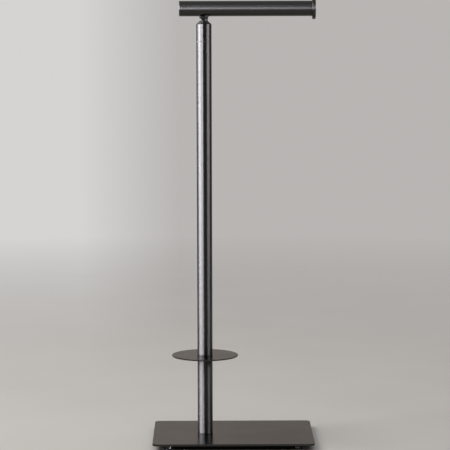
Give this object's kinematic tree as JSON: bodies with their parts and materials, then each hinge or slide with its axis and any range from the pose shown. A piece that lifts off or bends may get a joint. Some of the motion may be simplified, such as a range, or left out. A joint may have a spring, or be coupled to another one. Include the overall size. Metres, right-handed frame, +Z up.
{
  "type": "toilet roll holder stand",
  "caption": "Free-standing toilet roll holder: low rectangular base, offset round post with a spare-roll tray, and a lift-off head with a swivelling roll arm ending in a flange.",
  "frame": {"origin": "on the floor, at the centre of the holder's overall box", "axes": "+X along the roll arm towards its flange, +Y to the rear, +Z up the post"},
  "size_m": [0.203, 0.145, 0.5536],
  "materials": {
    "gunmetal_tube": "satin brushed gunmetal coating",
    "gunmetal_plate": "polished gunmetal coating",
    "ballast_black": "matt black paint",
    "foam_pad": "matt",
    "silicone_foot": "clear-grey satin silicone",
    "black_acetal": "matt",
    "ring_rubber": "matt",
    "plain_steel": "machined"
  },
  "bodies": {
    "stand": {"base_plate": "gunmetal_plate", "ballast_plate": "ballast_black", "adhesive_pad": "foam_pad", "foot_front_left": "silicone_foot", "foot_front_right": "silicone_foot", "foot_rear_left": "silicone_foot", "foot_rear_right": "silicone_foot", "post_bolt": "plain_steel", "locating_pin": "plain_steel", "post_foot_insert": "plain_steel", "lower_tube": "gunmetal_tube", "lower_head_insert": "plain_steel", "joint_stud": "plain_steel", "tray_disc": "gunmetal_plate", "upper_foot_insert": "plain_steel", "upper_tube": "gunmetal_tube", "socket_sleeve": "black_acetal"},
    "head": {"head_cap": "gunmetal_tube", "head_spigot": "plain_steel", "spigot_o_ring": "ring_rubber", "swivel_bush": "black_acetal", "thrust_washer": "black_acetal"},
    "arm": {"swivel_neck": "gunmetal_tube", "spring_washer": "plain_steel", "pivot_nut": "plain_steel", "arm_block": "plain_steel", "arm_tube": "gunmetal_tube", "end_plug": "gunmetal_tube", "end_flange": "gunmetal_tube"}
  },
  "joints": [
    {"name": "head_lift", "type": "slide", "parent": "stand", "child": "head", "axis": [0, 0, 1], "range_m": [0, 0.06]},
    {"name": "arm_swivel", "type": "hinge", "parent": "head", "child": "arm", "pos_m": [-0.03645, 0, 0.5252], "axis": [0, 0, 1], "continuous": true}
  ]
}
